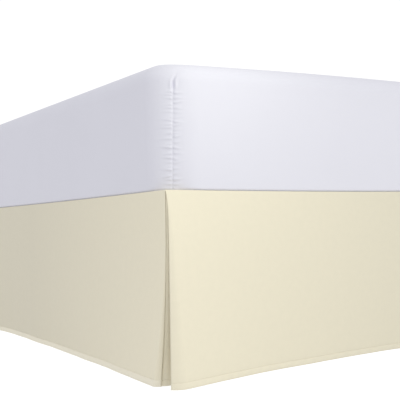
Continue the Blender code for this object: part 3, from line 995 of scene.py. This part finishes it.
class BEDSKIRT_OT_foundation(bpy.types.Operator):
    """Build the foundation in striped ticking, with corded seams round its top and bottom edges"""

    bl_idname = "bed_skirt.foundation"
    bl_label = "Foundation"

    def execute(self, context):
        base = context.scene.bed_skirt_base
        low, high = FOUNDATION_LOW.z, FOUNDATION_HIGH.z
        half_x, half_y, radius = FOUNDATION_HIGH.x, FOUNDATION_HIGH.y, base.corner_radius
        edges = (base.edge_radius, base.edge_radius)
        rings = round_box_rings(low, high, half_x, *edges, side_step=5 * MM, edge_steps=4, face_steps=5)
        steps = {"seam_step": 5 * MM, "arc_step": 5 * MM, "straight_step": 30 * MM}
        places = stations(half_x, half_y, radius, seam_reach=10 * MM, **steps)

        def point_at(station, ring, climb):
            flat, out = on_ring(station, half_x, half_y, radius, ring.inset)
            from_edge = min(ring.height - low, high - ring.height) - base.edge_radius - CORD
            proud = base.piping * bell(from_edge, CORD) - CORD_FURROW * bell(from_edge - 2.5 * CORD, CORD)
            reach = proud * math.cos(ring.tilt)
            return settle(Vector((flat.x + out.x * reach, flat.y + out.y * reach, ring.height)))

        bm = profile_box(places, rings, point_at)
        add_piece("foundation_box", bm, ticking_material(base), "foundation_ticking", "foundation")
        return {"FINISHED"}


class BEDSKIRT_OT_legs(bpy.types.Operator):
    """Turn the seven beech legs"""

    bl_idname = "bed_skirt.legs"
    bl_label = "Legs"

    def execute(self, context):
        wood = beech_material(context.scene.bed_skirt_base)
        for node in sorted(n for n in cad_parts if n.startswith("leg_")):
            low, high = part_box(node)
            radius, tall = (high.x - low.x) / 2, high.z - low.z
            foot = radius * LEG_TAPER
            profile = (
                (0, 0),
                (foot - 3 * MM, 0),
                (foot - 1 * MM, 0.8 * MM),
                (foot, 3 * MM),
                (mix(foot, radius, 0.5), tall * 0.5),
                (radius - 0.4 * MM, tall - 12 * MM),
                (radius, tall - 9 * MM),
                (radius, tall - 2 * MM),
                (radius - 2 * MM, tall),
                (0, tall),
            )
            bm = bmesh.new()
            points = [bm.verts.new((r, 0, z)) for r, z in reversed(profile)]
            for a, b in zip(points, points[1:]):
                bm.edges.new((a, b))
            leg = add_piece(f"{node}_turned", bm, wood, "leg_wood", node)
            leg.location = ((low.x + high.x) / 2, (low.y + high.y) / 2, low.z)
            screw = leg.modifiers.new("Lathe", "SCREW")
            screw.steps = screw.render_steps = LEG_SIDES
            screw.use_merge_vertices = True
            screw.merge_threshold = MM / 10
            screw.use_normal_calculate = True
        return {"FINISHED"}


# The deck's grid lines: how far from its edge the close ones are, where the wide steps begin and how long they are.
DECK_EDGE = (0.0, 5 * MM, 7 * MM, 9 * MM, 12 * MM)
DECK_MARGIN = 20 * MM
DECK_STEP = 60 * MM
# The line of stitching round the deck: how far from its edge it is, how deep and how wide.
DECK_SEWN = 7 * MM
DECK_DIMPLE = 0.3 * MM
DECK_DIMPLE_WIDTH = 1.2 * MM


class BEDSKIRT_OT_deck(bpy.types.Operator):
    """Lay the deck cloth on the foundation"""

    bl_idname = "bed_skirt.deck"
    bl_label = "Deck cloth"

    def execute(self, context):
        cloth = context.scene.bed_skirt_cloth
        material = microfibre_material(cloth)

        def lines(half):
            inner = steps_between(-half + DECK_MARGIN, half - DECK_MARGIN, DECK_STEP) + [half - DECK_MARGIN]
            return [-half + e for e in DECK_EDGE] + inner + [half - e for e in reversed(DECK_EDGE)]

        columns = [Column("across", x) for x in lines(DECK_HIGH.x)]
        rows = [Row(y, 0.0, 0.0) for y in lines(DECK_HIGH.y)]

        def point_at(column, row):
            from_edge = min(DECK_HIGH.x - abs(column.value), DECK_HIGH.y - abs(row.depth))
            dimple = DECK_DIMPLE * bell(from_edge - DECK_SEWN, DECK_DIMPLE_WIDTH)
            return settle(Vector((column.value, row.depth, DECK_HIGH.z - dimple)))

        bm = cloth_grid(columns, rows, point_at, lambda column, row: (column.value, row.depth), Vector((0, 0, 1)))
        deck = add_piece("deck_cloth", bm, material, "skirt_microfibre", "deck_panel")
        thicken(deck, cloth.sheet, cloth.hem_thickness)
        return {"FINISHED"}


def hang(name, cloth, columns, rows, point_at, outward, node):
    top_middle = point_at(columns[len(columns) // 2], rows[0])

    def flat_at(column, row):
        return (point_at(column, rows[0]) - top_middle).length, -row.depth * MM

    bm = cloth_grid(columns, rows, point_at, flat_at, outward)
    panel = add_piece(name, bm, microfibre_material(cloth), "skirt_microfibre", node)
    thicken(panel, cloth.sheet, cloth.hem_thickness)


class BEDSKIRT_OT_drops(bpy.types.Operator):
    """Hang the foot drop and the two side drops, and sew their hems"""

    bl_idname = "bed_skirt.drops"
    bl_label = "Drops"

    def execute(self, context):
        cloth = context.scene.bed_skirt_cloth
        thread = thread_material(cloth)
        welt = -cloth.seam_welt / MM
        forward = Vector((0, -1, 0))
        width = 2 * SEAM_X / MM
        hem_line = Row((DROP - cloth.hem_height) / MM, cloth.stitch_dimple / MM, 1.0)
        end_line = Column("run", end_hem_line(cloth), cloth.stitch_dimple / MM)
        left, right = ("left_fold", ENDS["foot", "left"]), ("right_fold", ENDS["foot", "right"])

        def foot_hem_at(place):
            return foot_point(hem_column(place, width, left, right), hem_line)

        run = width + left[1].fold_run + right[1].fold_run
        stitches = sew_row("foot_drop_stitching", cloth, run, foot_hem_at, forward, thread)
        rows = drop_rows(cloth, welt, cloth.foot_hem)
        hang("foot_drop", cloth, foot_columns(), rows, foot_point, forward, "foot_panel")
        for side, sign in SIDES.items():
            outward = Vector((sign, 0, 0))
            fold = ("fold", ENDS["side", side])

            def point_at(column, row, side=side):
                return side_point(side, column, row)

            def hem_at(place, side=side, fold=fold):
                return side_point(side, hem_column(place, end_line.value, fold), hem_line)

            def end_hem_at(place, side=side):
                return side_point(side, end_line, Row(place, 0.0, 0.0))

            run = end_line.value + fold[1].fold_run
            name = f"side_drop_{side}"
            stitches = [
                sew_row(f"{name}_stitching", cloth, run, hem_at, outward, thread),
                sew_row(f"{name}_end_stitching", cloth, hem_line.depth, end_hem_at, outward, thread),
            ]
            rows = drop_rows(cloth, welt, 1.0)
            hang(name, cloth, side_columns(cloth), rows, point_at, outward, f"side_panel_{side}")
        return {"FINISHED"}


class BEDSKIRT_OT_pleats(bpy.types.Operator):
    """Hang the underlays that close the two split corners"""

    bl_idname = "bed_skirt.pleats"
    bl_label = "Corner pleats"

    def execute(self, context):
        cloth = context.scene.bed_skirt_cloth
        rows = drop_rows(cloth, (DECK_HIGH.z - DECK_LOW.z + GAP) / MM, cloth.foot_hem)
        for side, sign in SIDES.items():

            def point_at(column, row, side=side):
                return pleat_point(side, column, row)

            outward, name, node = Vector((sign, -1, 0)), f"corner_underlay_{side}", f"corner_pleat_{side}"
            hang(name, cloth, pleat_columns(), rows, point_at, outward, node)
        return {"FINISHED"}


def glow(tree, light, look):
    """A strength that is light for the rays that light the part and look for the camera's own."""
    seen = add_node(tree, "ShaderNodeLightPath", out="Is Camera Ray")
    return add_node(tree, "ShaderNodeMapRange", {"Value": seen, "To Min": light, "To Max": look})


class BEDSKIRT_OT_stage(bpy.types.Operator):
    """Lay the pale floor and set the lights and the camera"""

    bl_idname = "bed_skirt.stage"
    bl_label = "Stage"

    def execute(self, context):
        scene = context.scene
        stage = scene.bed_skirt_stage
        scene.view_settings.view_transform = "Standard"

        tree, shader, paper = new_material("paper_background_white")
        fibre = add_node(tree, "ShaderNodeTexNoise", {"Scale": 1 / (2 * MM), "Detail": 2.0})
        relief = {"Height": fibre, "Strength": 0.05, "Distance": 0.1 * MM}
        bump = add_node(tree, "ShaderNodeBump", relief)
        strength = glow(tree, stage.floor_glow, stage.background * FLOOR_SHARE)
        feed(tree, shader, {"Base Color": stage.floor_colour, "Roughness": 1.0, "Specular IOR Level": 0.0})
        feed(tree, shader, {"Normal": bump, "Emission Color": linear("FFFFFF"), "Emission Strength": strength})
        bm = bmesh.new()
        bmesh.ops.create_grid(bm, x_segments=8, y_segments=8, size=FLOOR_HALF)
        floor = add_mesh("paper_floor", bm, paper)

        world = bpy.data.worlds.new("studio")
        scene.world = world
        world.use_nodes = True
        sky = world.node_tree
        strength = glow(sky, stage.sky, stage.background)
        feed(sky, sky.nodes["Background"], {"Color": linear("FFFFFF"), "Strength": strength})

        corner = Vector((-SEAM_X, -SEAM_Y, HEM_LEVEL))
        for kind, box in SOFTBOXES.items():
            light = bpy.data.lights.new(f"{kind}_softbox", "AREA")
            light.shape = "RECTANGLE"
            light.size, light.size_y = box.wide, box.high
            light.energy = getattr(stage, kind)
            light.color = SOFTBOX_COLOUR
            softbox = add_object(light.name, light)
            softbox.visible_camera = False
            softbox.location = corner + Vector(box.place)
            softbox.rotation_euler = (Vector(box.aim) - Vector(box.place)).to_track_quat("-Z", "Y").to_euler()

        camera_data = bpy.data.cameras.new("camera")
        camera_data.sensor_width = SENSOR
        camera_data.lens = stage.lens
        camera = add_object("camera", camera_data)
        yaw, pitch, roll = stage.camera_yaw, stage.camera_pitch, stage.camera_roll
        ahead = Vector((math.sin(yaw) * math.cos(pitch), math.cos(yaw) * math.cos(pitch), math.sin(pitch)))
        level = Vector((math.cos(yaw), -math.sin(yaw), 0))
        above = level.cross(ahead)
        right = level * math.cos(roll) + above * math.sin(roll)
        up = above * math.cos(roll) - level * math.sin(roll)
        turn = Matrix((right, up, -ahead)).transposed()
        camera.matrix_world = Matrix.Translation(corner + Vector(CAMERA_FROM_CORNER)) @ turn.to_4x4()
        scene.camera = camera
        return {"FINISHED"}


class BEDSKIRT_PT_sidebar(bpy.types.Panel):
    """Lists the operators and their settings"""

    bl_idname = "BEDSKIRT_PT_sidebar"
    bl_label = "Bed Skirt"
    bl_space_type = "VIEW_3D"
    bl_region_type = "UI"
    bl_category = "Bed Skirt"

    def draw(self, context):
        for group_name, _, operators in GROUPS:
            box = self.layout.box()
            group = getattr(context.scene, group_name)
            for setting in group.bl_rna.properties:
                if setting.identifier not in ("rna_type", "name"):
                    box.prop(group, setting.identifier)
            for operator in operators:
                box.operator(operator.bl_idname)


# Each group of settings, and the operators that use it, in the order in which they run.
GROUPS = (
    ("bed_skirt_base", BaseSettings, (BEDSKIRT_OT_legs, BEDSKIRT_OT_foundation)),
    ("bed_skirt_cloth", ClothSettings, (BEDSKIRT_OT_deck, BEDSKIRT_OT_drops, BEDSKIRT_OT_pleats)),
    ("bed_skirt_mattress", MattressSettings, (BEDSKIRT_OT_mattress,)),
    ("bed_skirt_stage", StageSettings, (BEDSKIRT_OT_stage,)),
)


def register():
    for group_name, settings, operators in GROUPS:
        bpy.utils.register_class(settings)
        setattr(bpy.types.Scene, group_name, bpy.props.PointerProperty(type=settings))
        for operator in operators:
            bpy.utils.register_class(operator)
    bpy.utils.register_class(BEDSKIRT_PT_sidebar)


def unregister():
    bpy.utils.unregister_class(BEDSKIRT_PT_sidebar)
    for group_name, settings, operators in reversed(GROUPS):
        for operator in reversed(operators):
            bpy.utils.unregister_class(operator)
        delattr(bpy.types.Scene, group_name)
        bpy.utils.unregister_class(settings)


def main():
    register()
    bpy.ops.bed_skirt.legs()
    bpy.ops.bed_skirt.foundation()
    bpy.ops.bed_skirt.deck()
    bpy.ops.bed_skirt.drops()
    bpy.ops.bed_skirt.pleats()
    bpy.ops.bed_skirt.mattress()
    bpy.ops.bed_skirt.stage()


if __name__ == "__main__":
    main()
